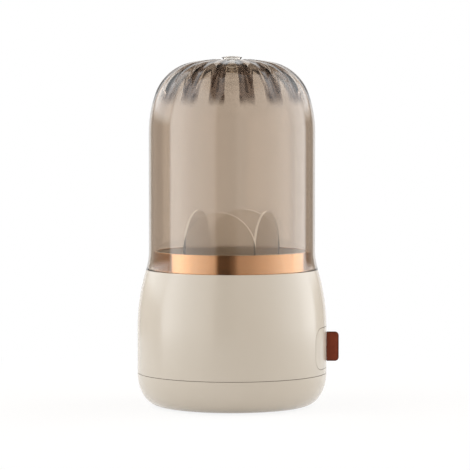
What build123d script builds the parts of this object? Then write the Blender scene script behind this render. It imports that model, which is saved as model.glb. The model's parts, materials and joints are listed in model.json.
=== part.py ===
from build123d import *
from math import asin, cos, degrees, radians, sin, sqrt
import os

os.makedirs("parts", exist_ok=True)

# Turntable brush holder: a fixed foot, a turning barrel with a drawer, a divided cup
# and a clear lift-off dome. Millimetres, +Z up, the origin in the middle of the face
# it stands on, +X towards the drawer.

# Foot and barrel outline
barrel_radius = 75.4
barrel_wall = 2.4
barrel_straight_top = 62.6
shoulder_height = 109.1
shoulder_inset = 6.9
ledge_thickness = 3.5
seam_height = 26.9
seam_gap = 0.4
foot_flat_radius = 58.0
foot_wall = 2.4
foot_floor = 2.8
floor_gap = 0.8
pad_radius = 52.0
pad_thickness = 2.2
pad_clearance = 0.1
rib_thickness = 1.8
foot_rib_count = 8

# Ball bearing between the foot and the barrel
ball_radius = 2.5
ball_count = 10
ball_clearance = 0.1
race_radius = 33.0
race_lip_width = 3.0
race_flange_width = 8.0
race_sheet = 1.0
race_bead_width = 8.0
race_bead_height = 3.4
race_lip_gap = 2.0
cage_thickness = 1.2
pocket_clearance = 0.2
pedestal_height = 3.4
pedestal_width = 7.0

# Screws
screw_radius = 1.4
screw_hole_clearance = 0.05
screw_tip_clearance = 0.3
screw_head_radius = 2.6
screw_head_height = 1.6
screw_boss_wall = 2.2
race_screw_count = 4
race_screw_length = 5.0
barrel_screw_length = 6.5
housing_screw_length = 5.5

# Pivot that holds the turning part down
pivot_radius = 4.95
pivot_clearance = 0.05
pivot_boss_radius = 12.0
pivot_collar_radius = 8.0
pivot_collar_thickness = 1.0
pivot_collar_gap = 1.2
pivot_end = 1.0
washer_radius = 9.0
washer_thickness = 1.0
washer_gap = 0.2
nut_across_flats = 13.0
nut_thickness = 4.0

# Deck, the pan-shaped floor of the turning part
deck_thickness = 2.5
deck_hub_thickness = 2.4
deck_hub_edge = 3.4
deck_hub_wall = 2.4
deck_clearance = 0.4
deck_rib_count = 10
deck_hub_boss_height = 4.0
deck_boss_depth = 6.0
skirt_wall = 1.6
skirt_depth = 4.3
skirt_inset = 1.0

# Lugs that hold the barrel on the deck
lug_angles = [72, 108, 180, 252, 288]
lug_reach = 17.0
lug_width = 10.0
lug_thickness = 2.5
gusset_thickness = 2.0
gusset_height = 14.0
gusset_foot = 12.0

# Drawer and its housing
front_half_width = 36.5
front_bottom = 31.6
front_top = 64.1
front_corner_radius = 9.0
front_gap = 0.4
front_screw_angle = 17.0
front_screw_depth = 1.4
tray_wall = 1.6
tray_back = -33.0
tray_height = 25.5
tray_lift = 0.3
tray_side_clearance = 0.5
tray_window_clearance = 0.7
housing_wall = 1.6
housing_roof = 63.6
housing_back_clearance = 2.0
housing_foot = 9.0
housing_foot_inset = 6.85
housing_rear_foot = 33.0
skin_gap = 0.05

# Pull tab
tab_reach = 9.7
tab_thickness = 3.0
tab_bottom = 35.7
tab_top = 59.1
tab_corner_radius = 3.0
tab_seat_gap = 0.1
tab_neck_thickness = 2.6
tab_neck_inset = 3.0
tab_slot_clearance = 0.2
tab_wing_thickness = 1.35
tab_wing_half_width = 9.0
rivet_angle = 5.0
rivet_radius = 1.0
rivet_clearance = 0.05
rivet_head_radius = 2.0
rivet_head_height = 0.9

# Collar, cup and divider
collar_wall = 1.6
collar_height = 15.0
collar_lip = 0.8
collar_lip_width = 3.5
collar_edge_radius = 0.4
cup_clearance = 0.1
cup_wall = 1.8
cup_floor_top = 68.6
cup_floor_thickness = 2.0
cup_flange_thickness = 1.5
cup_edge_radius = 1.5
ledge_clearance = 0.2
well_half_width = 30.0
arch_spring = 125.6
divider_sheet = 1.8
divider_turn = -19.5
divider_clearance = 0.3
pocket_floor = 90.6
fin_top = 114.6
fin_corner_radius = 6.0

# Dome
dome_wall = 2.4
dome_wall_top = 218.0
dome_clearance = 0.6
dome_seat_gap = 0.2
rim_flare = 2.3
rim_flare_height = 15.9
arch_radius = 93.5
arch_angle = 19.1
brow_radius = 38.6
brow_angle = 61.04
crest_circle = 15.0
dimple_radius = 9.5
dimple_angle = 84.0
flute_count = 16
flute_slope = 0.31
flute_start_angle = 3.0
flute_start_depth = 0.5
flute_crown_depth = 0.9
flute_depth = 1.0
flute_brow_angle = 30.0
flute_side_angle = 50.0
flute_low_angle = 66.0
flute_low_depth = 0.8
flute_end_angle = 78.0
flute_fade = 0.2
knob_rise = 2.0
knob_crown = 1.1
knob_radius = 8.4
knob_waist_radius = 4.6
knob_waist_depth = 6.5
knob_foot_radius = 5.2
knob_notch_radius = 0.9
knob_notch_depth = 2.2

# Heights and radii of the foot, the bearing and the pivot
foot_top = seam_height - seam_gap / 2
foot_floor_top = floor_gap + foot_floor
foot_inner_radius = barrel_radius - foot_wall
race_inner_radius = race_radius - race_bead_width / 2 - race_lip_width
race_outer_radius = race_radius + race_bead_width / 2 + race_flange_width
race_screw_circle = race_outer_radius - race_flange_width / 2
pedestal_top = foot_floor_top + pedestal_height
pedestal_inner_radius = race_outer_radius - pedestal_width
ball_height = pedestal_top + race_bead_height + race_lip_gap / 2
upper_race_top = 2 * ball_height - pedestal_top
pivot_boss_top = upper_race_top - pivot_collar_gap - pivot_collar_thickness
deck_hub_top = upper_race_top + deck_hub_thickness
deck_hub_radius = race_outer_radius + deck_hub_edge
washer_bottom = deck_hub_top + washer_gap
nut_bottom = washer_bottom + washer_thickness
pivot_top = nut_bottom + nut_thickness + pivot_end
pivot_hole_radius = pivot_radius + pivot_clearance
screw_hole_radius = screw_radius + screw_hole_clearance
screw_boss_radius = screw_radius + screw_boss_wall

# Barrel, deck and the curve of the shoulder
barrel_bottom = seam_height + seam_gap / 2
barrel_inner_radius = barrel_radius - barrel_wall
deck_top = barrel_bottom + deck_thickness
deck_radius = barrel_inner_radius - deck_clearance
lug_circle = barrel_inner_radius - lug_reach
skirt_outer_radius = foot_inner_radius - skirt_inset
deck_rib_circle = (deck_hub_radius + skirt_outer_radius - skirt_wall) / 2
lug_top = deck_top + lug_thickness
shoulder_radius = barrel_radius - shoulder_inset
dome_radius = shoulder_radius - rim_flare
shoulder_rise = shoulder_height - barrel_straight_top
barrel_bend = (shoulder_rise**2 + shoulder_inset**2) / (2 * shoulder_inset)
ledge_bottom = shoulder_height - ledge_thickness
ledge_rise = ledge_bottom - barrel_straight_top
ledge_bend = sqrt((barrel_bend - barrel_wall) ** 2 - ledge_rise**2)
ledge_outer_radius = barrel_radius - barrel_bend + ledge_bend
long_reach = 2 * barrel_radius

# Drawer
front_height = front_top - front_bottom
front_middle = (front_top + front_bottom) / 2
window_half_width = front_half_width + front_gap
tray_half_width = window_half_width - tray_window_clearance
tray_corner_radius = front_corner_radius + front_gap - tray_window_clearance
tray_bottom = deck_top + housing_wall + tray_lift
tray_front_radius = barrel_inner_radius - skin_gap
tray_lining_radius = tray_front_radius - tray_wall
housing_half_width = tray_half_width + tray_side_clearance
housing_outer_half_width = housing_half_width + housing_wall
housing_back = tray_back - housing_back_clearance
housing_foot_top = deck_top + housing_wall
neck_bottom = tab_bottom + tab_neck_inset
neck_height = tab_top - tab_bottom - 2 * tab_neck_inset
neck_middle = neck_bottom + neck_height / 2
front_screw_end = barrel_inner_radius + front_screw_depth
front_hole_end = front_screw_end + skin_gap
wing_outer_radius = tray_lining_radius - skin_gap
wing_inner_radius = wing_outer_radius - tab_wing_thickness
neck_reach = barrel_radius + tab_corner_radius - wing_inner_radius
front_screw_seat = tray_lining_radius - 2 * skin_gap
rivet_seat = wing_inner_radius - skin_gap
rivet_length = tray_front_radius - skin_gap - rivet_seat

# Collar, cup and divider
collar_radius = dome_radius - dome_wall - dome_clearance
collar_top = shoulder_height + collar_height
cup_radius = collar_radius - collar_wall - cup_clearance
cup_inner_radius = cup_radius - cup_wall
cup_top = collar_top - collar_lip
flange_bottom = shoulder_height - cup_flange_thickness
divider_radius = cup_inner_radius - divider_clearance
well_corner = well_half_width * sqrt(2)

# Dome: the arch, the brow and the crown are arcs that run into each other
crown_angle = 90 - arch_angle - brow_angle
brow_centre_radius = dome_radius - arch_radius + (arch_radius - brow_radius) * cos(radians(arch_angle))
brow_centre_height = dome_wall_top + (arch_radius - brow_radius) * sin(radians(arch_angle))
crown_radius = brow_centre_radius / sin(radians(crown_angle)) + brow_radius
crest_angle = degrees(asin(crest_circle / crown_radius))
crown_centre_height = brow_centre_height - (crown_radius - brow_radius) * cos(radians(crown_angle))
knob_top = crown_centre_height + crown_radius + knob_rise
dome_rim = shoulder_height + dome_seat_gap

# Places that several pieces share
lug_places = [(lug_circle * cos(radians(angle)), lug_circle * sin(radians(angle))) for angle in lug_angles]
front_foot_offset = housing_outer_half_width + housing_foot / 2
rear_foot_place = housing_back - housing_wall - housing_foot / 2
front_foot_place = sqrt((deck_radius - housing_foot_inset) ** 2 - front_foot_offset**2)
front_foot_places = [(front_foot_place, front_foot_offset), (front_foot_place, -front_foot_offset)]
rear_foot_places = [(rear_foot_place, housing_rear_foot), (rear_foot_place, -housing_rear_foot)]
housing_foot_places = front_foot_places + rear_foot_places
foot_rib_rings = [
    (pivot_boss_radius, pedestal_inner_radius),
    (race_outer_radius, foot_flat_radius),
]
front_screw_angles = (-front_screw_angle, front_screw_angle)
rivet_angles = (-rivet_angle, rivet_angle)


def headed_pin(head_radius, head_height, shank_radius, length):
    with BuildPart() as pin:
        Cylinder(head_radius, head_height, align=(Align.CENTER, Align.CENTER, Align.MIN))
        Cylinder(shank_radius, length, align=(Align.CENTER, Align.CENTER, Align.MAX))
    return pin.part


def inward_planes(angles, radius, height):
    rays = [Vector(1, 0, 0).rotate(Axis.Z, angle) for angle in angles]
    return [Plane(origin=ray * radius + Vector(0, 0, height), z_dir=-ray) for ray in rays]


# Foot: a shallow dish with a ring for the bearing, a boss for the pivot and ribs
with BuildPart() as foot_shell:
    with BuildSketch(Plane.XZ):
        with BuildLine():
            bend_centre = (foot_flat_radius, foot_top)
            outside = EllipticalCenterArc(
                bend_centre,
                barrel_radius - foot_flat_radius,
                foot_top - floor_gap,
                start_angle=270,
                arc_size=90,
            )
            inside = EllipticalCenterArc(
                bend_centre,
                foot_inner_radius - foot_flat_radius,
                foot_top - foot_floor_top,
                start_angle=270,
                arc_size=90,
            )
            Line(outside @ 1, inside @ 1)
            Polyline(inside @ 0, (0, foot_floor_top), (0, floor_gap), outside @ 0)
        make_face()
    revolve(axis=Axis.Z)
    with BuildSketch(Plane.XY.offset(foot_floor_top)):
        Circle(race_outer_radius)
        Circle(pedestal_inner_radius, mode=Mode.SUBTRACT)
        for inner, outer in foot_rib_rings:
            with PolarLocations((inner + outer) / 2, foot_rib_count, start_angle=180 / foot_rib_count):
                Rectangle(outer - inner + rib_thickness, rib_thickness)
    extrude(amount=pedestal_height)
    with BuildSketch(Plane.XY.offset(foot_floor_top)):
        Circle(pivot_boss_radius)
    extrude(amount=pivot_boss_top - foot_floor_top)
    with Locations((0, 0, pivot_boss_top)):
        Hole(pivot_hole_radius, depth=pivot_boss_top - foot_floor_top)
    with Locations((0, 0, pedestal_top)):
        with PolarLocations(race_screw_circle, race_screw_count):
            Hole(screw_hole_radius, depth=race_screw_length - race_sheet + screw_tip_clearance)
    with BuildSketch(Plane.XY.offset(floor_gap)):
        Circle(pad_radius + pad_clearance)
    extrude(amount=pad_thickness - floor_gap, mode=Mode.SUBTRACT)
foot_shell.part.label = "foot_shell"
export_step(foot_shell.part, "parts/foot_shell.step")

# Anti-slip pad set into the underside of the foot
with BuildPart() as anti_slip_pad:
    Cylinder(pad_radius, pad_thickness, align=(Align.CENTER, Align.CENTER, Align.MIN))
    chamfer(anti_slip_pad.edges().group_by(Axis.Z)[0], floor_gap / 2)
anti_slip_pad.part.label = "anti_slip_pad"
export_step(anti_slip_pad.part, "parts/anti_slip_pad.step")

# Lower race: a pressed ring with a raised bead and a ball groove
with BuildPart() as lower_race:
    with BuildSketch(Plane.XZ):
        with Locations((race_inner_radius, pedestal_top)):
            Rectangle(race_outer_radius - race_inner_radius, race_sheet, align=(Align.MIN, Align.MIN))
        with Locations((race_radius, pedestal_top)):
            Rectangle(race_bead_width, race_bead_height, align=(Align.CENTER, Align.MIN))
        with Locations((race_radius, ball_height)):
            Circle(ball_radius + ball_clearance, mode=Mode.SUBTRACT)
    revolve(axis=Axis.Z)
    with Locations((0, 0, pedestal_top + race_sheet)):
        with PolarLocations(race_screw_circle, race_screw_count):
            Hole(screw_hole_radius, depth=race_sheet)
lower_race.part.label = "lower_race"
export_step(lower_race.part, "parts/lower_race.step")

# Upper race: the same ring turned over
with BuildPart() as upper_race:
    mirror(lower_race.part, about=Plane.XY.offset(ball_height))
upper_race.part.label = "upper_race"
export_step(upper_race.part, "parts/upper_race.step")

race_screw = headed_pin(screw_head_radius, screw_head_height, screw_radius, race_screw_length)

with BuildPart() as lower_race_screws:
    with Locations((0, 0, pedestal_top + race_sheet)):
        with PolarLocations(race_screw_circle, race_screw_count):
            add(race_screw)
lower_race_screws.part.label = "lower_race_screws"
export_step(lower_race_screws.part, "parts/lower_race_screws.step")

with BuildPart() as upper_race_screws:
    mirror(lower_race_screws.part, about=Plane.XY.offset(ball_height))
upper_race_screws.part.label = "upper_race_screws"
export_step(upper_race_screws.part, "parts/upper_race_screws.step")

# Ball cage and its balls
with BuildPart() as ball_cage:
    with BuildSketch(Plane.XY.offset(ball_height - cage_thickness / 2)):
        Circle(race_radius + race_bead_width / 2)
        Circle(race_radius - race_bead_width / 2, mode=Mode.SUBTRACT)
        with PolarLocations(race_radius, ball_count):
            Circle(ball_radius + pocket_clearance, mode=Mode.SUBTRACT)
    extrude(amount=cage_thickness)
ball_cage.part.label = "ball_cage"
export_step(ball_cage.part, "parts/ball_cage.step")

with BuildPart() as bearing_balls:
    with Locations((0, 0, ball_height)):
        with PolarLocations(race_radius, ball_count):
            Sphere(ball_radius)
bearing_balls.part.label = "bearing_balls"
export_step(bearing_balls.part, "parts/bearing_balls.step")

# Pivot: a stud with a collar, its washer and its nut
with BuildPart() as pivot_post:
    with Locations((0, 0, foot_floor_top)):
        Cylinder(pivot_radius, pivot_top - foot_floor_top, align=(Align.CENTER, Align.CENTER, Align.MIN))
    with Locations((0, 0, pivot_boss_top)):
        Cylinder(pivot_collar_radius, pivot_collar_thickness, align=(Align.CENTER, Align.CENTER, Align.MIN))
    chamfer(pivot_post.edges().group_by(Axis.Z)[-1], pivot_end / 2)
pivot_post.part.label = "pivot_post"
export_step(pivot_post.part, "parts/pivot_post.step")

with BuildPart() as pivot_washer:
    with BuildSketch(Plane.XY.offset(washer_bottom)):
        Circle(washer_radius)
        Circle(pivot_hole_radius, mode=Mode.SUBTRACT)
    extrude(amount=washer_thickness)
pivot_washer.part.label = "pivot_washer"
export_step(pivot_washer.part, "parts/pivot_washer.step")

with BuildPart() as pivot_nut:
    with BuildSketch(Plane.XY.offset(nut_bottom)):
        RegularPolygon(nut_across_flats / 2, 6, major_radius=False)
        Circle(pivot_hole_radius, mode=Mode.SUBTRACT)
    extrude(amount=nut_thickness)
pivot_nut.part.label = "pivot_nut"
export_step(pivot_nut.part, "parts/pivot_nut.step")

# Deck: a pan whose hub sits on the upper race and whose rim carries the barrel
with BuildPart() as rotor_deck:
    with BuildSketch(Plane.XZ):
        with Locations((pivot_hole_radius, upper_race_top)):
            Rectangle(deck_hub_radius - pivot_hole_radius, deck_hub_thickness, align=(Align.MIN, Align.MIN))
        with Locations((deck_hub_radius, upper_race_top)):
            Rectangle(deck_hub_wall, deck_top - upper_race_top, align=(Align.MAX, Align.MIN))
        with Locations((deck_radius, barrel_bottom)):
            Rectangle(
                deck_radius - deck_hub_radius + deck_hub_wall, deck_thickness, align=(Align.MAX, Align.MIN)
            )
        with Locations((skirt_outer_radius, barrel_bottom)):
            Rectangle(skirt_wall, skirt_depth, align=(Align.MAX, Align.MAX))
    revolve(axis=Axis.Z)
    with BuildSketch(Plane.XY.offset(barrel_bottom - skirt_depth)):
        with PolarLocations(deck_rib_circle, deck_rib_count, start_angle=180 / deck_rib_count):
            Rectangle(skirt_outer_radius - deck_hub_radius, rib_thickness)
    extrude(amount=skirt_depth)
    with BuildSketch(Plane.XY.offset(deck_hub_top)):
        with PolarLocations(race_screw_circle, race_screw_count):
            Circle(screw_boss_radius)
    extrude(amount=deck_hub_boss_height)
    with BuildSketch(Plane.XY.offset(barrel_bottom)):
        with Locations(lug_places + housing_foot_places):
            Circle(screw_boss_radius)
    extrude(amount=-deck_boss_depth)
    with BuildSketch(Plane.XY.offset(upper_race_top)):
        with PolarLocations(race_screw_circle, race_screw_count):
            Circle(screw_hole_radius)
    extrude(amount=race_screw_length - race_sheet + screw_tip_clearance, mode=Mode.SUBTRACT)
    with Locations(Plane.XY.offset(deck_top)):
        with Locations(lug_places):
            Hole(screw_hole_radius, depth=barrel_screw_length - lug_thickness + screw_tip_clearance)
        with Locations(housing_foot_places):
            Hole(screw_hole_radius, depth=housing_screw_length - housing_wall + screw_tip_clearance)
rotor_deck.part.label = "rotor_deck"
export_step(rotor_deck.part, "parts/rotor_deck.step")

# Barrel: the turning outer shell, with the ledge, the drawer window and the lugs
with BuildPart() as barrel_shell:
    with BuildSketch(Plane.XZ):
        with BuildLine():
            outside = Line((barrel_radius, barrel_bottom), (barrel_radius, barrel_straight_top))
            bend = TangentArc(outside @ 1, (shoulder_radius, shoulder_height), tangent=(0, 1))
            inside = Line((barrel_inner_radius, barrel_bottom), (barrel_inner_radius, barrel_straight_top))
            inner_bend = TangentArc(inside @ 1, (ledge_outer_radius, ledge_bottom), tangent=(0, 1))
            Line(outside @ 0, inside @ 0)
            Polyline(
                bend @ 1,
                (collar_radius + ledge_clearance, shoulder_height),
                (collar_radius + ledge_clearance, flange_bottom),
                (cup_radius + ledge_clearance, flange_bottom),
                (cup_radius + ledge_clearance, ledge_bottom),
                inner_bend @ 1,
            )
        make_face()
    revolve(axis=Axis.Z)
    with BuildSketch(Plane.XY.offset(deck_top)):
        for angle in lug_angles:
            with PolarLocations(lug_circle - lug_width / 2, 1, start_angle=angle):
                Rectangle(
                    barrel_radius - barrel_wall / 2 - lug_circle + lug_width / 2,
                    lug_width,
                    align=(Align.MIN, Align.CENTER),
                )
    extrude(amount=lug_thickness)
    for angle in lug_angles:
        with BuildSketch(Plane.XZ.rotated((0, 0, angle))):
            with BuildLine():
                Polyline(
                    (barrel_radius - barrel_wall / 2, lug_top),
                    (barrel_inner_radius - gusset_foot, lug_top),
                    (barrel_radius - barrel_wall / 2, lug_top + gusset_height),
                    close=True,
                )
            make_face()
        extrude(amount=gusset_thickness / 2, both=True)
    with Locations(Plane.XY.offset(lug_top)):
        with Locations(lug_places):
            Hole(screw_hole_radius, depth=lug_thickness)
    with BuildSketch(Plane.YZ):
        with Locations((0, front_middle)):
            RectangleRounded(
                2 * window_half_width, front_height + 2 * front_gap, front_corner_radius + front_gap
            )
    extrude(amount=long_reach, mode=Mode.SUBTRACT)
barrel_shell.part.label = "barrel_shell"
export_step(barrel_shell.part, "parts/barrel_shell.step")

barrel_screw = headed_pin(screw_head_radius, screw_head_height, screw_radius, barrel_screw_length)

with BuildPart() as barrel_screws:
    with Locations(Plane.XY.offset(lug_top)):
        with Locations(lug_places):
            add(barrel_screw)
barrel_screws.part.label = "barrel_screws"
export_step(barrel_screws.part, "parts/barrel_screws.step")

# Drawer housing: a tunnel on the deck whose mouth follows the inside of the barrel
with BuildPart() as drawer_housing:
    with BuildSketch(Plane.XY.offset(deck_top)):
        with Locations((housing_back - housing_wall, 0)):
            Rectangle(long_reach, 2 * housing_outer_half_width, align=(Align.MIN, Align.CENTER))
        Circle(deck_radius, mode=Mode.INTERSECT)
    extrude(amount=housing_roof + housing_wall - deck_top)
    with BuildSketch(Plane.XY.offset(deck_top)):
        with Locations(front_foot_places):
            Rectangle(housing_foot, housing_foot + housing_wall)
        with Locations(rear_foot_places):
            Rectangle(housing_foot + housing_wall, housing_foot)
    extrude(amount=housing_wall)
    with BuildSketch(Plane.XY.offset(housing_foot_top)):
        with Locations((housing_back, 0)):
            Rectangle(long_reach, 2 * housing_half_width, align=(Align.MIN, Align.CENTER))
    extrude(amount=housing_roof - housing_foot_top, mode=Mode.SUBTRACT)
    with Locations(Plane.XY.offset(housing_foot_top)):
        with Locations(housing_foot_places):
            Hole(screw_hole_radius, depth=housing_wall)
drawer_housing.part.label = "drawer_housing"
export_step(drawer_housing.part, "parts/drawer_housing.step")

housing_screw = headed_pin(screw_head_radius, screw_head_height, screw_radius, housing_screw_length)

with BuildPart() as housing_screws:
    with Locations(Plane.XY.offset(housing_foot_top)):
        with Locations(housing_foot_places):
            add(housing_screw)
housing_screws.part.label = "housing_screws"
export_step(housing_screws.part, "parts/housing_screws.step")

# Cup, hung by its flange in the ledge of the barrel
with BuildPart() as inner_cup:
    with BuildSketch(Plane.XZ):
        with BuildLine():
            Polyline(
                (0, cup_floor_top - cup_floor_thickness),
                (cup_radius, cup_floor_top - cup_floor_thickness),
                (cup_radius, flange_bottom),
                (collar_radius, flange_bottom),
                (collar_radius, shoulder_height),
                (cup_radius, shoulder_height),
                (cup_radius, cup_top),
                (cup_inner_radius, cup_top),
                (cup_inner_radius, cup_floor_top),
                (0, cup_floor_top),
                close=True,
            )
        make_face()
    revolve(axis=Axis.Z)
    fillet(inner_cup.edges().group_by(Axis.Z)[0], cup_edge_radius)
inner_cup.part.label = "inner_cup"
export_step(inner_cup.part, "parts/inner_cup.step")

# Collar: the bright ring over the rim of the cup
with BuildPart() as collar_ring:
    with BuildSketch(Plane.XZ):
        with Locations((collar_radius, shoulder_height)):
            Rectangle(collar_wall, collar_height, align=(Align.MAX, Align.MIN))
        with Locations((collar_radius, collar_top)):
            Rectangle(collar_lip_width, collar_lip, align=(Align.MAX, Align.MAX))
    revolve(axis=Axis.Z)
    fillet(collar_ring.edges().group_by(Axis.Z)[-1].sort_by(SortBy.RADIUS)[-1], collar_edge_radius)
collar_ring.part.label = "collar_ring"
export_step(collar_ring.part, "parts/collar_ring.step")

# Divider: four arched plates round a square well, with fins and raised pocket floors
with BuildPart() as brush_divider:
    for side in range(4):
        turn = divider_turn + 90 * side
        with BuildSketch(Plane.YZ.rotated((0, 0, turn)).offset(well_half_width - divider_sheet)):
            with Locations((0, cup_floor_top)):
                Rectangle(2 * well_half_width, arch_spring - cup_floor_top, align=(Align.CENTER, Align.MIN))
            with Locations((0, arch_spring)):
                Circle(well_half_width)
        extrude(amount=divider_sheet)
        with BuildSketch(Plane.XZ.rotated((0, 0, turn + 45))):
            with BuildLine():
                edge = Line((divider_radius, cup_floor_top), (divider_radius, fin_top - fin_corner_radius))
                corner = JernArc(edge @ 1, (0, 1), fin_corner_radius, 90)
                Polyline(
                    corner @ 1,
                    (well_corner - divider_sheet, fin_top),
                    (well_corner - divider_sheet, cup_floor_top),
                    edge @ 0,
                )
            make_face()
        extrude(amount=divider_sheet / 2, both=True)
    with BuildSketch(Plane.XY.offset(pocket_floor)):
        Circle(divider_radius)
        Rectangle(
            2 * well_half_width - divider_sheet,
            2 * well_half_width - divider_sheet,
            rotation=divider_turn,
            mode=Mode.SUBTRACT,
        )
    extrude(amount=divider_sheet)
brush_divider.part.label = "brush_divider"
export_step(brush_divider.part, "parts/brush_divider.step")

# Drawer tray: round lower corners, and a front wall that follows the barrel
def tray_block(inset):
    with BuildPart() as block:
        with BuildSketch(Plane.YZ.offset(tray_back + inset)) as section:
            with Locations((0, tray_bottom + inset)):
                Rectangle(2 * (tray_half_width - inset), tray_height, align=(Align.CENTER, Align.MIN))
            fillet(section.vertices().group_by(Axis.Y)[0], tray_corner_radius - inset)
        extrude(amount=long_reach)
        with BuildSketch(Plane.XY.offset(tray_bottom)):
            Circle(tray_front_radius - inset)
        extrude(amount=2 * tray_height, mode=Mode.INTERSECT)
    return block.part


with BuildPart() as drawer_tray:
    add(tray_block(0))
    add(tray_block(tray_wall), mode=Mode.SUBTRACT)
    with BuildSketch(Plane.YZ.offset(barrel_radius / 2)):
        with Locations((0, neck_middle)):
            Rectangle(tab_neck_thickness + 2 * tab_slot_clearance, neck_height + 2 * tab_slot_clearance)
    extrude(amount=barrel_radius, mode=Mode.SUBTRACT)
    with Locations(inward_planes(front_screw_angles, wing_inner_radius, front_middle)):
        Hole(screw_hole_radius, depth=barrel_radius - wing_inner_radius)
    with Locations(inward_planes(rivet_angles, wing_inner_radius, neck_middle)):
        Hole(rivet_radius + rivet_clearance, depth=barrel_radius - wing_inner_radius)
drawer_tray.part.label = "drawer_tray"
export_step(drawer_tray.part, "parts/drawer_tray.step")

# Drawer front: a piece of the barrel's own wall, with a slot for the tab
with BuildPart() as drawer_front:
    with BuildSketch(Plane.XY.offset(front_bottom)):
        Circle(barrel_radius)
        Circle(barrel_inner_radius, mode=Mode.SUBTRACT)
    extrude(amount=front_height)
    with BuildSketch(Plane.YZ):
        with Locations((0, front_middle)):
            RectangleRounded(2 * front_half_width, front_height, front_corner_radius)
    extrude(amount=long_reach, mode=Mode.INTERSECT)
    with BuildSketch(Plane.YZ.offset(barrel_radius / 2)):
        with Locations((0, neck_middle)):
            Rectangle(tab_neck_thickness + 2 * tab_slot_clearance, neck_height + 2 * tab_slot_clearance)
    extrude(amount=barrel_radius, mode=Mode.SUBTRACT)
    with Locations(inward_planes(front_screw_angles, tray_lining_radius, front_middle)):
        Hole(screw_hole_radius, depth=front_hole_end - tray_lining_radius)
drawer_front.part.label = "drawer_front"
export_step(drawer_front.part, "parts/drawer_front.step")

front_screw_length = front_screw_end - front_screw_seat
front_screw = headed_pin(screw_head_radius, screw_head_height, screw_radius, front_screw_length)

with BuildPart() as front_screws:
    with Locations(inward_planes(front_screw_angles, front_screw_seat, front_middle)):
        add(front_screw)
front_screws.part.label = "front_screws"
export_step(front_screws.part, "parts/front_screws.step")

# Pull tab: a leather blade whose wings are riveted inside the tray
with BuildPart() as pull_tab:
    with BuildSketch(Plane.XZ):
        with Locations((barrel_radius + tab_seat_gap, tab_bottom)):
            Rectangle(tab_reach, tab_top - tab_bottom, align=(Align.MIN, Align.MIN))
    extrude(amount=tab_thickness / 2, both=True)
    fillet(pull_tab.edges().filter_by(Axis.Y).group_by(Axis.X)[-1], tab_corner_radius)
    with BuildSketch(Plane.XZ):
        with Locations((wing_inner_radius, neck_bottom)):
            Rectangle(neck_reach, neck_height, align=(Align.MIN, Align.MIN))
    extrude(amount=tab_neck_thickness / 2, both=True)
    with BuildSketch(Plane.XY.offset(neck_bottom)):
        Circle(wing_outer_radius)
        Circle(wing_inner_radius, mode=Mode.SUBTRACT)
        with Locations((barrel_radius, 0)):
            Rectangle(barrel_radius, 2 * tab_wing_half_width, mode=Mode.INTERSECT)
    extrude(amount=neck_height)
    with Locations(inward_planes(rivet_angles, barrel_radius / 2, neck_middle)):
        Hole(rivet_radius + rivet_clearance, depth=barrel_radius / 2)
pull_tab.part.label = "pull_tab"
export_step(pull_tab.part, "parts/pull_tab.step")

rivet = headed_pin(rivet_head_radius, rivet_head_height, rivet_radius, rivet_length)

with BuildPart() as tab_rivets:
    with Locations(inward_planes(rivet_angles, rivet_seat, neck_middle)):
        add(rivet)
tab_rivets.part.label = "tab_rivets"
export_step(tab_rivets.part, "parts/tab_rivets.step")


def dome_side(inset):
    wall = Line((dome_radius - inset, dome_rim + rim_flare_height), (dome_radius - inset, dome_wall_top))
    flare = TangentArc(wall @ 0, (shoulder_radius - inset, dome_rim), tangent=(0, -1))
    arch = JernArc(wall @ 1, (0, 1), arch_radius - inset, arch_angle)
    brow = JernArc(arch @ 1, arch % 1, brow_radius - inset, brow_angle)
    crown = JernArc(brow @ 1, brow % 1, crown_radius - inset, crown_angle - crest_angle)
    dimple = JernArc(crown @ 1, crown % 1, dimple_radius - inset, dimple_angle)
    return flare @ 1, dimple @ 1


def flute_section(centre, radius, angle, depth):
    turn = radians(angle)
    size = flute_slope * (centre[0] + radius * sin(turn))
    reach = radius + size - depth
    origin = (centre[0] + reach * sin(turn), 0, centre[1] + reach * cos(turn))
    with BuildSketch(Plane(origin=origin, x_dir=(0, 1, 0), z_dir=(cos(turn), 0, -sin(turn)))) as section:
        Circle(size)
    return section.sketch


# Flute cutter: a bar that widens from the crest down the brow
crown_centre = (0, crown_centre_height)
brow_centre = (brow_centre_radius, brow_centre_height)
arch_centre = (dome_radius - arch_radius, dome_wall_top)
with BuildPart() as flute_cutter:
    loft(
        [
            flute_section(crown_centre, crown_radius, flute_start_angle, flute_start_depth),
            flute_section(crown_centre, crown_radius, crown_angle, flute_crown_depth),
            flute_section(brow_centre, brow_radius, flute_brow_angle, flute_depth),
            flute_section(brow_centre, brow_radius, flute_side_angle, flute_depth),
            flute_section(brow_centre, brow_radius, flute_low_angle, flute_low_depth),
            flute_section(arch_centre, arch_radius, flute_end_angle, -flute_fade),
        ]
    )

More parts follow.
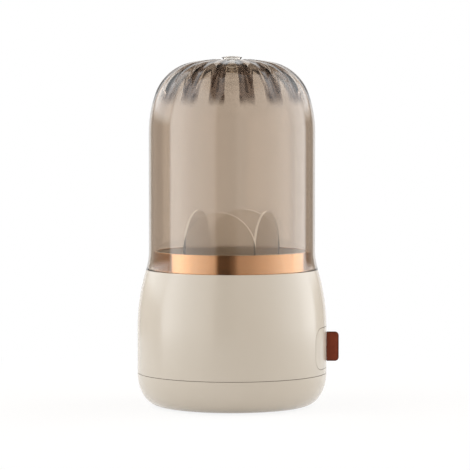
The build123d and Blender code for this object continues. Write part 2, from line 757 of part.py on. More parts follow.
# Dome: a clear bell with a fluted crown and a notched knob in a dimple
with BuildPart() as dome:
    with BuildSketch(Plane.XZ):
        with BuildLine():
            rim_outside, dimple_floor = dome_side(0)
            rim_inside, dimple_ceiling = dome_side(dome_wall)
            Line(rim_outside, rim_inside)
            Polyline(
                dimple_floor,
                (0, dimple_floor.Y),
                (0, dimple_floor.Y - dome_wall),
                (dimple_ceiling.X, dimple_floor.Y - dome_wall),
                dimple_ceiling,
            )
        make_face()
    revolve(axis=Axis.Z)
    with PolarLocations(0, flute_count, start_angle=180 / flute_count):
        add(flute_cutter.part, mode=Mode.SUBTRACT)
    with BuildSketch(Plane.XZ):
        with BuildLine():
            cap = TangentArc((0, knob_top), (knob_radius, knob_top - knob_crown), tangent=(1, 0))
            side = ThreePointArc(
                cap @ 1,
                (knob_waist_radius, knob_top - knob_waist_depth),
                (knob_foot_radius, dimple_floor.Y),
            )
            Polyline(side @ 1, (0, dimple_floor.Y), cap @ 0)
        make_face()
    revolve(axis=Axis.Z)
    with BuildSketch(Plane.XY.offset(knob_top)):
        with PolarLocations(knob_radius, flute_count, start_angle=180 / flute_count):
            Circle(knob_notch_radius)
    extrude(amount=-knob_notch_depth, mode=Mode.SUBTRACT)
dome.part.label = "dome"
export_step(dome.part, "parts/dome.step")
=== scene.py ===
import json
import math

import bmesh
import bpy
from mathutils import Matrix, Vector


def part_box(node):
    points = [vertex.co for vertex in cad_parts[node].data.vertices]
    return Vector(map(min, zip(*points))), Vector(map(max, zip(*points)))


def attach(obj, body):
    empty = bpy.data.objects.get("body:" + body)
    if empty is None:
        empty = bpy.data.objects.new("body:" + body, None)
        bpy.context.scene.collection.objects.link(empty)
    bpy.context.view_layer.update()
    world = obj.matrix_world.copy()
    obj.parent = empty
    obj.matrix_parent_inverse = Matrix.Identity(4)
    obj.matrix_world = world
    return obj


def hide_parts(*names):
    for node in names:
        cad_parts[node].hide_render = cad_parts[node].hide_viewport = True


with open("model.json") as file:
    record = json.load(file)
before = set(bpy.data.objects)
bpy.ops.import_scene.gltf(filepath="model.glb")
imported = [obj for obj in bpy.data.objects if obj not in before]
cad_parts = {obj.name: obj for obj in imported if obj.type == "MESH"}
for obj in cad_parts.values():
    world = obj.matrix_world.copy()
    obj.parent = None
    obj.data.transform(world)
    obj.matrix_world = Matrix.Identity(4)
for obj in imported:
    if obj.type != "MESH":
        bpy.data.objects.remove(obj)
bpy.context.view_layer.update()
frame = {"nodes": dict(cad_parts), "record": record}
bpy.ops.object.select_all(action="DESELECT")
print("frame loaded")


class Value:
    # a socket that takes part in sums
    def __init__(self, graph, socket):
        self.graph = graph
        self.socket = socket

    def maths(self, operation, first, second):
        return self.graph.node("ShaderNodeMath", {"operation": operation}, {0: first, 1: second})

    def __add__(self, other):
        return self.maths("ADD", self, other)

    def __sub__(self, other):
        return self.maths("SUBTRACT", self, other)

    def __rsub__(self, other):
        return self.maths("SUBTRACT", other, self)

    def __mul__(self, other):
        return self.maths("MULTIPLY", self, other)

    def __truediv__(self, other):
        return self.maths("DIVIDE", self, other)

    __radd__ = __add__
    __rmul__ = __mul__


class Graph:
    def __init__(self, tree):
        self.tree = tree
        self.tree.nodes.clear()

    def node(self, kind, settings={}, inputs={}, output=0):
        made = self.tree.nodes.new(kind)
        for name, setting in settings.items():
            if name == "stops":
                ramp = made.color_ramp.elements
                while len(ramp) < len(setting):
                    ramp.new(0.5)
                for element, (place, colour) in zip(ramp, setting):
                    element.position = place
                    element.color = (*colour, 1)
            else:
                setattr(made, name, setting)
        for name, value in inputs.items():
            socket = made.inputs[name]
            if isinstance(value, Value):
                self.tree.links.new(value.socket, socket)
            elif isinstance(value, tuple) and len(value) == 3 and socket.type == "RGBA":
                socket.default_value = (*value, 1)
            else:
                socket.default_value = value
        return Value(self, made.outputs[output]) if made.outputs else None


def newFinish(name):
    material = bpy.data.materials.new(name)
    material.use_nodes = True
    return material, Graph(material.node_tree)


def blend(graph, share, first, second):
    return graph.node(
        "ShaderNodeMix", {"data_type": "RGBA"}, {"Factor": share, 6: first, 7: second}, output=2
    )


def place(graph, scale=(1, 1, 1)):
    spot = graph.node("ShaderNodeTexCoord", output=3)
    return graph.node("ShaderNodeMapping", {}, {"Vector": spot, "Scale": scale})


def noise(graph, at, scale, detail=2.0, roughness=0.5):
    return graph.node(
        "ShaderNodeTexNoise", {}, {"Vector": at, "Scale": scale, "Detail": detail, "Roughness": roughness}
    )


def ramp(graph, share, stops):
    return graph.node("ShaderNodeValToRGB", {"stops": stops}, {"Fac": share})


def bump(graph, height, strength, distance):
    return graph.node("ShaderNodeBump", {}, {"Height": height, "Strength": strength, "Distance": distance})


def between(graph, value, start, end, first=0.0, second=1.0, kind="LINEAR"):
    # runs from the first to the second number while the value goes from start to end
    return graph.node(
        "ShaderNodeMapRange",
        {"interpolation_type": kind},
        {"Value": value, 1: start, 2: end, 3: first, 4: second},
    )


def axis(graph, spot, number):
    return graph.node("ShaderNodeSeparateXYZ", {}, {"Vector": spot}, output=number)


def lesser(graph, first, second):
    return graph.node("ShaderNodeMath", {"operation": "MINIMUM"}, {0: first, 1: second})


def finishOff(graph, inputs):
    surface = graph.node("ShaderNodeBsdfPrincipled", {}, inputs)
    graph.node("ShaderNodeOutputMaterial", {}, {"Surface": surface})


# polished moulded shell: a little darker and lighter by turns, with a faint ripple
creamLook = {
    "colour": (0.487, 0.447, 0.386),
    "shade": (0.465, 0.423, 0.36),
    "roughness": 0.2,
    "ripple": 0.02,
}


def creamPlastic():
    material, graph = newFinish("creamPlastic")
    at = place(graph)
    cloud = noise(graph, at, 18, 3)
    smear = noise(graph, at, 60, 4, 0.6)
    finishOff(graph, {
        "Base Color": blend(graph, cloud, creamLook["colour"], creamLook["shade"]),
        "Roughness": smear * 0.08 + (creamLook["roughness"] - 0.04),
        "IOR": 1.5,
        "Coat Weight": 0.2,
        "Coat Roughness": 0.06,
        "Normal": bump(graph, noise(graph, at, 220, 2), creamLook["ripple"], 0.001),
    })
    return material


innerLook = {"colour": (0.60, 0.52, 0.43), "shade": (0.53, 0.455, 0.37), "grain": 900}


def innerPlastic():
    material, graph = newFinish("innerPlastic")
    at = place(graph)
    finishOff(graph, {
        "Base Color": blend(graph, noise(graph, at, 25, 3), innerLook["colour"], innerLook["shade"]),
        "Roughness": noise(graph, at, 120, 2) * 0.15 + 0.42,
        "Normal": bump(graph, noise(graph, at, innerLook["grain"], 2), 0.12, 0.0004),
    })
    return material


goldLook = {"colour": (0.95, 0.63, 0.36), "shade": (0.89, 0.56, 0.305), "roughness": 0.05}


def roseGold():
    material, graph = newFinish("roseGold")
    at = place(graph)
    long = place(graph, (1, 1, 14))
    finishOff(graph, {
        "Base Color": blend(graph, noise(graph, at, 30, 3), goldLook["colour"], goldLook["shade"]),
        "Metallic": 1.0,
        "Roughness": noise(graph, long, 260, 3) * 0.05 + (goldLook["roughness"] - 0.02),
        "Normal": bump(graph, noise(graph, long, 300, 2), 0.03, 0.0004),
    })
    return material


steelLook = {
    "raceSteel": ((0.50, 0.50, 0.50), (0.40, 0.39, 0.37), 0.32),
    "screwSteel": ((0.55, 0.54, 0.52), (0.42, 0.41, 0.39), 0.30),
    "ballSteel": ((0.72, 0.72, 0.73), (0.66, 0.66, 0.67), 0.08),
    "rivetBrass": ((0.72, 0.50, 0.24), (0.58, 0.38, 0.17), 0.28),
}


def steel(name):
    light, dark, roughness = steelLook[name]
    material, graph = newFinish(name)
    at = place(graph)
    worn = noise(graph, at, 140, 4, 0.6)
    finishOff(graph, {
        "Base Color": blend(graph, worn, light, dark),
        "Metallic": 1.0,
        "Roughness": worn * 0.16 + (roughness - 0.08),
        "Normal": bump(graph, noise(graph, at, 900, 3), 0.08, 0.0003),
    })
    return material


def cagePlastic():
    material, graph = newFinish("cagePlastic")
    at = place(graph)
    finishOff(graph, {
        "Base Color": blend(graph, noise(graph, at, 60, 2), (0.78, 0.76, 0.70), (0.70, 0.67, 0.60)),
        "Roughness": noise(graph, at, 200, 2) * 0.2 + 0.4,
        "Normal": bump(graph, noise(graph, at, 700, 2), 0.1, 0.0004),
    })
    return material


def padRubber():
    material, graph = newFinish("padRubber")
    at = place(graph)
    finishOff(graph, {
        "Base Color": blend(graph, noise(graph, at, 90, 3), (0.030, 0.028, 0.026), (0.055, 0.050, 0.046)),
        "Roughness": noise(graph, at, 300, 2) * 0.2 + 0.65,
        "Normal": bump(graph, noise(graph, at, 1400, 2), 0.3, 0.0004),
    })
    return material


tabLook = {
    "root": 0.0755,
    "thickness": 0.003,
    "corner": 0.003,
    "soft": 0.0006,
    "crease": 0.0008,
    "groove": 0.0002,
    "crown": 0.0001,
    "crownInset": 0.0012,
    "neckInset": 0.003,
    "neckShare": 0.87,
    "wing": 0.00135,
    "cornerShare": 0.9,
    "sideArea": 5e-5,
    "smoothBelow": 35,
}
leatherLook = {
    "colour": (0.215, 0.036, 0.010),
    "shade": (0.135, 0.024, 0.007),
    "burnt": (0.060, 0.012, 0.004),
    "grain": 1500,
    "rim": 0.0004,
    "border": 0.0013,
    # how far the painted shade reaches out from the wall
    "rootShadeLength": 0.004,
}


def tabLeather():
    # grained hide, darker where its cut edge is burnished, and painted shade darkens it where it enters the
    # wall
    material, graph = newFinish("tabLeather")
    at = place(graph)
    low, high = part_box("pull_tab")
    spot = graph.node("ShaderNodeTexCoord", output=3)
    x = axis(graph, spot, 0)
    z = axis(graph, spot, 2)
    nearest = lesser(graph, lesser(graph, high[2] - z, z - low[2]), high[0] - x)
    edge = between(graph, nearest, leatherLook["rim"], leatherLook["border"], 0.75, 0.0)
    # painted shade: the hide darkens over a few millimetres before it goes into the wall
    root = between(graph, x, tabLook["root"], tabLook["root"] + leatherLook["rootShadeLength"], 0.8, 0.0)
    grain = graph.node(
        "ShaderNodeTexVoronoi",
        {"feature": "DISTANCE_TO_EDGE"},
        {"Vector": at, "Scale": leatherLook["grain"]},
    )
    mottle = noise(graph, at, 260, 4, 0.6)
    hide = blend(graph, mottle, leatherLook["colour"], leatherLook["shade"])
    hide = blend(graph, root, hide, leatherLook["shade"])
    finishOff(graph, {
        "Base Color": blend(graph, edge, hide, leatherLook["burnt"]),
        "Roughness": mottle * 0.2 + 0.5,
        "Specular IOR Level": 0.25,
        "Normal": bump(graph, grain, 0.25, 0.0004),
    })
    return material


# glow is painted light, the emission colour of the sheet's cut edges
frostLook = {
    "colour": (0.95, 0.93, 0.90),
    "shade": (0.90, 0.87, 0.83),
    "glow": (0.62, 0.58, 0.52),
    "roughness": 0.10,
    "paintedEdgeGlow": (0.04, 0.12),
}


def frostedClear():
    # a slightly milky sheet, with painted light: its upward-facing cut edges glow by emission, standing in
    # for light that runs inside it and comes out there
    material, graph = newFinish("frostedClear")
    at = place(graph)
    slope = axis(graph, graph.node("ShaderNodeTexCoord", output=1), 2)
    paintedEdgeGlow = between(graph, slope, *frostLook["paintedEdgeGlow"])
    finishOff(graph, {
        "Base Color": blend(graph, noise(graph, at, 30, 3), frostLook["colour"], frostLook["shade"]),
        "Roughness": noise(graph, at, 160, 2) * 0.08 + (frostLook["roughness"] - 0.04),
        "IOR": 1.45,
        "Transmission Weight": 0.92,
        # painted light: the cut edges glow
        "Emission Color": blend(graph, paintedEdgeGlow, (0, 0, 0), frostLook["glow"]),
        "Emission Strength": 1.0,
        "Normal": bump(graph, noise(graph, at, 1000, 2), 0.05, 0.0003),
    })
    return material


# painted shade: the dome is coloured darker in its flutes, which run from the dimple down over the brow,
# and at its rims where the wall is seen edge-on; painted light makes the knob paler
smokeLook = {
    "colour": (0.66, 0.585, 0.51),
    "edge": (0.30, 0.23, 0.17),
    "paintedFluteShade": (0.20, 0.15, 0.12),
    "knob": (0.90, 0.87, 0.82),
    "flutes": 16,
    "fluteShadeEdge": 0.12,
    "foot": 0.238,
    "head": 0.248,
    "knobReach": (0.009, 0.013),
    "roughness": 0.012,
    "ior": 1.5,
}


def smokedClear():
    material, graph = newFinish("smokedClear")
    spot = graph.node("ShaderNodeTexCoord", output=3)
    x, y, z = (axis(graph, spot, number) for number in range(3))
    turn = graph.node("ShaderNodeMath", {"operation": "ARCTAN2"}, {0: y, 1: x})
    swing = graph.node("ShaderNodeMath", {"operation": "COSINE"}, {0: turn * smokeLook["flutes"]})
    # painted shade in the flutes, fading in upwards between the foot and the head
    groove = between(graph, swing, smokeLook["fluteShadeEdge"], -smokeLook["fluteShadeEdge"], kind="SMOOTHSTEP")
    reach = between(graph, z, smokeLook["foot"], smokeLook["head"], kind="SMOOTHSTEP")
    level = graph.node("ShaderNodeCombineXYZ", {}, {0: x, 1: y, 2: 0.0})
    across = graph.node("ShaderNodeVectorMath", {"operation": "LENGTH"}, {0: level}, output=1)
    # painted light: the knob is paler, and the flute shade keeps off it
    clear = between(graph, across, *smokeLook["knobReach"], kind="SMOOTHSTEP")
    # painted shade: darker where the wall is seen edge-on, standing in for the longer path through the
    # tinted glass
    rim = graph.node("ShaderNodeLayerWeight", {}, {"Blend": 0.3}, output=1)
    body = blend(graph, rim, smokeLook["colour"], smokeLook["edge"])
    body = blend(graph, clear, smokeLook["knob"], body)
    finishOff(graph, {
        "Base Color": blend(graph, groove * reach * clear, body, smokeLook["paintedFluteShade"]),
        "Roughness": noise(graph, spot, 40, 2) * 0.012 + smokeLook["roughness"],
        "IOR": smokeLook["ior"],
        "Transmission Weight": 1.0,
    })
    return material


finishes = {
    "cream_plastic": creamPlastic(),
    "inner_plastic": innerPlastic(),
    "smoked_clear": smokedClear(),
    "frosted_clear": frostedClear(),
    "rose_gold": roseGold(),
    "tab_leather": tabLeather(),
    "pad_rubber": padRubber(),
    "race_steel": steel("raceSteel"),
    "ball_steel": steel("ballSteel"),
    "screw_steel": steel("screwSteel"),
    "cage_plastic": cagePlastic(),
    "rivet_brass": steel("rivetBrass"),
}
for entry in frame["record"]["subparts"]:
    node = frame["nodes"][entry["node"]]
    node.data.materials.clear()
    node.data.materials.append(finishes[entry["material_slot"]])
print("finishes made")


# two places nearer than this, in metres, count as one
hair = 1e-6


def pick(piece, kind, test):
    # selects the vertices, edges or faces that pass a test, which is given the middle and the thing
    mesh = bmesh.from_edit_mesh(piece.data)
    bpy.ops.mesh.select_mode(type={"verts": "VERT", "edges": "EDGE", "faces": "FACE"}[kind])
    bpy.ops.mesh.select_all(action="DESELECT")
    for part in getattr(mesh, kind):
        corners = [part.co] if kind == "verts" else [vert.co for vert in part.verts]
        if test(sum(corners, Vector()) / len(corners), part):
            part.select_set(True)
    mesh.select_flush_mode()
    bmesh.update_edit_mesh(piece.data)


def applyPlace(piece):
    bpy.ops.object.select_all(action="DESELECT")
    piece.select_set(True)
    bpy.context.view_layer.objects.active = piece
    bpy.ops.object.transform_apply(location=True, rotation=True, scale=True)


def sealPiece(piece):
    # merges what lies on itself and turns the faces outwards
    bpy.ops.object.mode_set(mode="EDIT")
    bpy.ops.mesh.select_all(action="SELECT")
    bpy.ops.mesh.remove_doubles(threshold=hair)
    bpy.ops.mesh.normals_make_consistent(inside=False)
    bpy.ops.object.mode_set(mode="OBJECT")


def joinPieces(pieces, name):
    bpy.ops.object.select_all(action="DESELECT")
    for piece in pieces:
        piece.select_set(True)
    bpy.context.view_layer.objects.active = pieces[0]
    bpy.ops.object.join()
    whole = bpy.context.object
    whole.name = name
    sealPiece(whole)
    return whole


def eased(stops, at):
    # a value that runs smoothly from stop to stop and is 0 outside them
    for (start, first), (end, second) in zip(stops, stops[1:]):
        if start <= at < end:
            share = (at - start) / (end - start)
            return first + (second - first) * share * share * (3 - 2 * share)
    return 0.0


domeLook = {
    "wall": 0.0024,
    "flare": 0.0023,
    "flareHeight": 0.0159,
    "wallTop": 0.218,
    "archRadius": 0.0935,
    "archAngle": 19.1,
    "browRadius": 0.0386,
    "browAngle": 61.04,
    "crest": 0.015,
    "dimpleRadius": 0.0095,
    "dimpleAngle": 84.0,
    "knobCrown": 0.0011,
    "knobRadius": 0.0084,
    "knobWaist": (0.0046, 0.0065),
    "knobFoot": 0.0052,
    "notch": 0.0009,
    "notchHeight": 0.0022,
    "notchReach": (0.0078, 0.0083, 0.0086),
    "soft": 0.0004,
    "columns": 256,
    "innerRows": (5, 4, 8, 20, 6, 10),
    "outerRows": (8, 6, 16, 44, 8, 20),
    "knobRows": 14,
    "flutes": smokeLook["flutes"],
    "fluteSlope": 0.31,
    "fluteSpread": 1.15,
    "fluteInner": 0.0088,
    "fluteMost": 0.001,
    "fluteUpward": 0.15,
    "dimpleSlope": 9,
    "dimpleFlute": 0.0006,
    "fluteDepth": [(0, 0.0005), (9.9, 0.0009), (30, 0.001), (50, 0.001), (66, 0.0008), (77, 0.0)],
}
domeLow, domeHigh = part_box("dome")


def arcOn(line, heading, radius, angle, steps):
    # goes on from the line's end, turning left
    r, z = line[-1]
    middle = (r - radius * math.sin(heading), z + radius * math.cos(heading))
    for step in range(1, steps + 1):
        turn = heading + math.radians(angle) * step / steps
        line.append((middle[0] + radius * math.sin(turn), middle[1] - radius * math.cos(turn)))
    return heading + math.radians(angle)


def domeSide(inset, rows):
    # half section of one skin, from the rim up over the brow and down into the dimple
    radius = domeHigh[0] - domeLook["flare"]
    bend = (domeLook["flareHeight"] ** 2 + domeLook["flare"] ** 2) / (2 * domeLook["flare"])
    most = math.asin(domeLook["flareHeight"] / bend)
    line = []
    for step in range(rows[0] + 1):
        turn = most * (1 - step / rows[0])
        line.append((
            radius - inset + bend * (1 - math.cos(turn)),
            domeLow[2] + domeLook["flareHeight"] - bend * math.sin(turn),
        ))
    bottom = line[-1][1]
    for step in range(1, rows[1] + 1):
        line.append((radius - inset, bottom + (domeLook["wallTop"] - bottom) * step / rows[1]))
    arch, brow = domeLook["archRadius"], domeLook["browRadius"]
    archTurn = math.radians(domeLook["archAngle"])
    crownAngle = 90 - domeLook["archAngle"] - domeLook["browAngle"]
    browCentre = radius - arch + (arch - brow) * math.cos(archTurn)
    crown = browCentre / math.sin(math.radians(crownAngle)) + brow
    crestAngle = math.degrees(math.asin(domeLook["crest"] / crown))
    heading = arcOn(line, math.pi / 2, arch - inset, domeLook["archAngle"], rows[2])
    heading = arcOn(line, heading, brow - inset, domeLook["browAngle"], rows[3])
    heading = arcOn(line, heading, crown - inset, crownAngle - crestAngle, rows[4])
    arcOn(line, heading, domeLook["dimpleRadius"] - inset, domeLook["dimpleAngle"], rows[5])
    return line


def knobSide(foot, steps):
    # from the floor of the dimple up the waist, round the edge and over the cap
    top = domeHigh[2]
    waist, depth = domeLook["knobWaist"]
    edge = (domeLook["knobRadius"], top - domeLook["knobCrown"])
    # the waist is the curve through the foot, the narrow place and the edge
    at = [(domeLook["knobFoot"], foot), (waist, top - depth), edge]
    line = []
    for step in range(steps + 1):
        z = foot + (edge[1] - foot) * step / steps
        r = 0
        for own, (radius, height) in enumerate(at):
            share = 1
            for other, (_, level) in enumerate(at):
                if other != own:
                    share *= (z - level) / (height - level)
            r += radius * share
        line.append((r, z))
    bend = (edge[0] ** 2 + domeLook["knobCrown"] ** 2) / (2 * domeLook["knobCrown"])
    for step in range(1, steps + 1):
        r = edge[0] * (1 - step / steps)
        line.append((r, top - bend + math.sqrt(bend ** 2 - r ** 2)))
    return line


def weigh(piece, name, weight):
    group = piece.vertex_groups.new(name=name)
    for vert in piece.data.vertices:
        share = weight(vert.co, vert.normal)
        if share > 0:
            group.add([vert.index], share, "REPLACE")


def press(piece, name, depth):
    # sinks the weighted places by the depth
    modifier = piece.modifiers.new(name, "DISPLACE")
    modifier.vertex_group = name
    modifier.direction = "NORMAL"
    modifier.mid_level = 0
    modifier.strength = -depth
    bpy.ops.object.modifier_apply(modifier=name)


def dip(co, half):
    # 1 in the middle of the nearest flute and 0 from its half width on, which is an angle
    pitch = 2 * math.pi / domeLook["flutes"]
    away = abs((math.atan2(co.y, co.x) / pitch) % 1 - 0.5) * pitch
    share = min(1, away / min(half, pitch / 2))
    return (1 - share * share) ** 2


def fluteWeight(co, normal):
    # only the crown and the dimple are fluted, not the wall, the inner skin or the knob
    radius = math.hypot(co.x, co.y)
    if normal.z < domeLook["fluteUpward"] or radius < domeLook["fluteInner"]:
        return 0
    slope = math.degrees(math.acos(min(1, normal.z)))
    inside = normal.x * co.x + normal.y * co.y < 0
    depth = eased(domeLook["fluteDepth"], slope)
    if inside and slope > domeLook["dimpleSlope"]:
        depth = domeLook["dimpleFlute"]
    if depth <= 0:
        return 0
    half = domeLook["fluteSpread"] * math.sqrt(2 * domeLook["fluteSlope"] * depth / radius)
    return depth / domeLook["fluteMost"] * dip(co, half)


def notchWeight(co, normal):
    radius = math.hypot(co.x, co.y)
    low, full, high = domeLook["notchReach"]
    if not low < radius < high or co.z < domeHigh[2] - domeLook["notchHeight"]:
        return 0
    return dip(co, domeLook["notch"] / radius) * eased([(low, 0), (full, 1), (high, 1)], radius)


def addDome():
    # the half section is drawn point by point, spun round and then fluted and notched
    inner = domeSide(domeLook["wall"], domeLook["innerRows"])
    outer = domeSide(0, domeLook["outerRows"])
    ceiling = (0, outer[-1][1] - domeLook["wall"])
    line = [ceiling, (inner[-1][0], ceiling[1])] + inner[::-1] + outer
    line += knobSide(outer[-1][1], domeLook["knobRows"])
    bpy.ops.object.select_all(action="DESELECT")
    bpy.ops.mesh.primitive_plane_add(size=0.001, location=(line[0][0], 0, line[0][1]))
    dome = bpy.context.object
    dome.name = "clear_dome"
    applyPlace(dome)
    bpy.ops.object.mode_set(mode="EDIT")
    bpy.ops.mesh.select_all(action="SELECT")
    bpy.ops.mesh.merge(type="CENTER")
    for (r, z), (nextR, nextZ) in zip(line, line[1:]):
        bpy.ops.mesh.extrude_region_move(TRANSFORM_OT_translate={"value": (nextR - r, 0, nextZ - z)})
    corners = [inner[0], outer[0], (domeLook["knobRadius"], domeHigh[2] - domeLook["knobCrown"])]
    pick(
        dome,
        "verts",
        lambda at, vert: any(math.hypot(at.x - r, at.z - z) < hair for r, z in corners),
    )
    bpy.ops.mesh.bevel(offset=domeLook["soft"], segments=4, affect="VERTICES")
    bpy.ops.mesh.select_all(action="SELECT")
    bpy.ops.mesh.spin(steps=domeLook["columns"], angle=2 * math.pi, center=(0, 0, 0), axis=(0, 0, 1))
    bpy.ops.object.mode_set(mode="OBJECT")
    sealPiece(dome)
    weigh(dome, "flutes", fluteWeight)
    weigh(dome, "notches", notchWeight)
    press(dome, "flutes", domeLook["fluteMost"])
    press(dome, "notches", domeLook["notch"])
    bpy.ops.object.shade_smooth()
    dome.data.materials.append(finishes["smoked_clear"])
    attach(dome, "lid")
    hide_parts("dome")
    print("dome modelled", len(dome.data.polygons), "faces")


addDome()


def addTab():
    # a blade of hide whose neck goes through the wall to two wings riveted in the tray
    low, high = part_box("pull_tab")
    middle = (low[2] + high[2]) / 2
    half = tabLook["thickness"] / 2
    span = high[0] - tabLook["root"]
    bpy.ops.mesh.primitive_cube_add(
        size=1,
        location=(tabLook["root"] + span / 2, 0, middle),
        scale=(span, tabLook["thickness"], high[2] - low[2]),
    )
    blade = bpy.context.object
    applyPlace(blade)
    bpy.ops.object.mode_set(mode="EDIT")
    corner = tabLook["cornerShare"] * (high[2] - middle)
    pick(blade, "edges", lambda at, edge: at.x > high[0] - hair and abs(at.z - middle) > corner)
    bpy.ops.mesh.bevel(offset=tabLook["corner"], segments=7, affect="EDGES")
    pick(blade, "faces", lambda at, face: at.x < tabLook["root"] + hair)
    wingRadius = math.hypot(low[0], low[1])
    neckZ = (middle - low[2] - tabLook["neckInset"]) / (middle - low[2])
    bpy.ops.mesh.extrude_region_move()
    bpy.ops.transform.resize(
        value=(1, tabLook["neckShare"], neckZ), center_override=(tabLook["root"], 0, middle)
    )
    reach = wingRadius + tabLook["wing"] / 2 - tabLook["root"]
    bpy.ops.mesh.extrude_region_move(TRANSFORM_OT_translate={"value": (reach, 0, 0)})
    pick(
        blade,
        "edges",
        lambda at, edge: at.x > tabLook["root"] - hair
        and all(abs(vert.co.y) > half - hair for vert in edge.verts),
    )
    bpy.ops.mesh.bevel(offset=tabLook["soft"], segments=4, affect="EDGES")
    # the two broad sides, without the rounded edges and the neck
    pick(
        blade,
        "faces",
        lambda at, face: abs(face.normal.y) > 0.999
        and at.x > tabLook["root"]
        and face.calc_area() > tabLook["sideArea"],
    )
    bpy.ops.mesh.inset(thickness=tabLook["crease"])
    bpy.ops.mesh.inset(thickness=tabLook["groove"], depth=-tabLook["groove"] / 2)
    bpy.ops.mesh.inset(thickness=tabLook["groove"], depth=tabLook["groove"] / 2)
    bpy.ops.mesh.inset(thickness=tabLook["crownInset"], depth=tabLook["crown"])
    bpy.ops.object.mode_set(mode="OBJECT")
    bottom = low[2] + tabLook["neckInset"]
    top = high[2] - tabLook["neckInset"]
    turn = math.asin(high[1] / (wingRadius + tabLook["wing"]))
    bpy.ops.mesh.primitive_plane_add(
        size=1,
        location=(wingRadius + tabLook["wing"] / 2, 0, (bottom + top) / 2),
        rotation=(math.pi / 2, 0, 0),
    )
    wings = bpy.context.object
    wings.scale = (tabLook["wing"], top - bottom, 1)
    applyPlace(wings)
    bpy.ops.object.mode_set(mode="EDIT")
    bpy.ops.mesh.select_all(action="SELECT")
    bpy.ops.transform.rotate(value=turn, orient_axis="Z", center_override=(0, 0, 0))
    bpy.ops.mesh.spin(steps=12, angle=2 * turn, center=(0, 0, 0), axis=(0, 0, 1))
    bpy.ops.object.mode_set(mode="OBJECT")
    tab = joinPieces([blade, wings], "leather_tab")
    bpy.ops.object.shade_smooth_by_angle(angle=math.radians(tabLook["smoothBelow"]))
    tab.data.materials.clear()
    tab.data.materials.append(finishes["tab_leather"])
    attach(tab, "drawer")
    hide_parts("pull_tab")
    print("tab modelled")


addTab()


# camera and room
cameraLook = {"place": (0.0024, -2.17, 0.2646), "aim": (0.0024, 0, 0.1363), "lens": 209}


def addCamera():
    sight = Vector(cameraLook["aim"]) - Vector(cameraLook["place"])
    pitch = math.atan2(sight.z, sight.y)
    bpy.ops.object.camera_add(location=cameraLook["place"], rotation=(math.pi / 2 + pitch, 0, 0))
    camera = bpy.context.object
    camera.data.lens = cameraLook["lens"]
    bpy.context.scene.camera = camera


# brightness of the studio walls by bearing in degrees: 0 behind the lens, + to the right
studioLook = {
    "round": [
        (-180, 0.45), (-155, 0.4), (-143, 1.0), (-120, 0.9), (-97, 1.0), (-92.5, 4.6), (-80, 4.8),
        (-70, 4.0), (-57, 3.0), (-44, 2.5), (-32, 2.1), (-25, 1.8), (-19, 0.25), (-5, 0.22), (3, 0.5),
        (10, 1.2), (26, 1.35), (38, 1.68), (51, 2.0), (64, 2.5), (78, 3.2), (94, 3.7), (100, 4.5),
        (119, 4.4), (126, 0.8), (143, 0.8), (155, 0.4), (180, 0.45),
    ],
    "up": [(-90, 0.0), (-25, 0.0), (-15, 1.0), (38, 1.0), (60, 0.55), (75, 0.3), (90, 0.25)],
    # soft boxes behind to both sides, which stand above the holder's waist
    "rear": [
        (-180, 0.0), (-152, 0.0), (-145, 1.0), (-100, 1.0), (-93, 0.0), (120, 0.0), (127, 1.0), (145, 1.0),
        (152, 0.0), (180, 0.0),
    ],
    "rearUp": [(-90, 0.0), (3, 0.0), (9, 1.0), (40, 1.0), (55, 0.0), (90, 0.0)],
    "rearLevel": 1.6,
    "brightest": 5.0,
    "glow": (0.98, 0.99, 1.0),
    "shade": (1.0, 0.80, 0.62),
    "whiteAt": 2.0,
    "level": 0.72,
}


def wallRamp(graph, share, stops, start, span, top=1.0):
    # levels given by degrees, spread over the ramp's length
    return ramp(graph, share, [((angle - start) / span, (level / top,) * 3) for angle, level in stops])


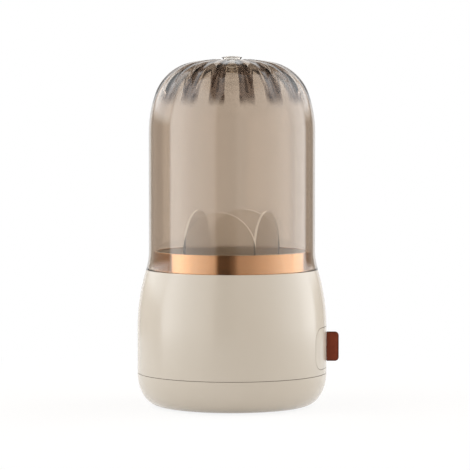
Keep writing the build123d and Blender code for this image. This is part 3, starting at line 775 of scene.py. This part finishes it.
def addStudio():
    world = bpy.data.worlds.new("studio")
    world.use_nodes = True
    bpy.context.scene.world = world
    graph = Graph(world.node_tree)
    spot = graph.node("ShaderNodeTexCoord")
    x, y, z = (axis(graph, spot, number) for number in range(3))
    bearing = graph.node("ShaderNodeMath", {"operation": "ARCTAN2"}, {0: x, 1: 0 - y}) / (2 * math.pi) + 0.5
    rise = graph.node("ShaderNodeMath", {"operation": "ARCSINE"}, {0: z}) / math.pi + 0.5
    top = studioLook["brightest"]
    walls = wallRamp(graph, bearing, studioLook["round"], -180, 360, top)
    walls = walls * wallRamp(graph, rise, studioLook["up"], -90, 180) * (top * studioLook["level"])
    rear = wallRamp(graph, bearing, studioLook["rear"], -180, 360)
    rear = rear * wallRamp(graph, rise, studioLook["rearUp"], -90, 180) * studioLook["rearLevel"]
    strength = walls + rear
    tone = blend(graph, strength / studioLook["whiteAt"], studioLook["shade"], studioLook["glow"])
    room = graph.node("ShaderNodeBackground", {}, {"Color": tone, "Strength": strength})
    white = graph.node("ShaderNodeBackground", {}, {"Color": (1, 1, 1), "Strength": 1.0})
    path = "ShaderNodeLightPath"
    # straight through the dome the room is white too, while the gold mirrors the walls
    bounces = graph.node(path, output="Glossy Depth") + graph.node(path, output="Diffuse Depth")
    straight = graph.node("ShaderNodeMath", {"operation": "LESS_THAN"}, {0: bounces, 1: 0.5})
    through = graph.node(path, output="Is Transmission Ray") * straight
    lens = graph.node("ShaderNodeClamp", {}, {"Value": graph.node(path, output="Is Camera Ray") + through})
    mixed = graph.node("ShaderNodeMixShader", {}, {0: lens, 1: room, 2: white})
    graph.node("ShaderNodeOutputWorld", {}, {"Surface": mixed})


# the floor is a round sheet: shadows show near the holder and fade out towards its edge
floorLook = {"radius": 0.62, "colour": (0.96, 0.935, 0.90), "near": 0.86, "fade": (0.16, 0.40)}
backdropLook = {"place": (0, 1.5, 0.3), "size": (1.7, 1.9, 1)}


def whiteFinish(name, share):
    # white for the lens, metal and glass, and a plain pale surface for everything else
    material, graph = newFinish(name)
    path = "ShaderNodeLightPath"
    seen = graph.node(path, output="Is Camera Ray") + graph.node(path, output="Is Glossy Ray")
    seen = seen + graph.node(path, output="Is Transmission Ray")
    seen = graph.node("ShaderNodeClamp", {}, {"Value": seen})
    if share < 1:
        spot = graph.node("ShaderNodeTexCoord", output=3)
        away = graph.node("ShaderNodeVectorMath", {"operation": "LENGTH"}, {0: spot}, output=1)
        near, far = floorLook["fade"]
        seen = seen * between(graph, away, near, far, share, 1.0)
    pale = graph.node("ShaderNodeBsdfDiffuse", {}, {"Color": floorLook["colour"]})
    glow = graph.node("ShaderNodeEmission", {}, {"Color": (1, 1, 1), "Strength": 1.0})
    mixed = graph.node("ShaderNodeMixShader", {}, {0: seen, 1: pale, 2: glow})
    graph.node("ShaderNodeOutputMaterial", {}, {"Surface": mixed})
    return material


def addFloor():
    bpy.ops.mesh.primitive_circle_add(vertices=96, radius=floorLook["radius"], fill_type="NGON")
    floor = bpy.context.object
    floor.name = "floor"
    floor.data.materials.append(whiteFinish("paleFloor", floorLook["near"]))
    bpy.ops.mesh.primitive_plane_add(size=1, location=backdropLook["place"], rotation=(math.pi / 2, 0, 0))
    backdrop = bpy.context.object
    backdrop.name = "backdrop"
    backdrop.scale = backdropLook["size"]
    backdrop.data.materials.append(whiteFinish("paleBackdrop", 1.0))


addCamera()
addStudio()
addFloor()
bpy.context.scene.view_settings.view_transform = "Standard"
print("camera and studio made")
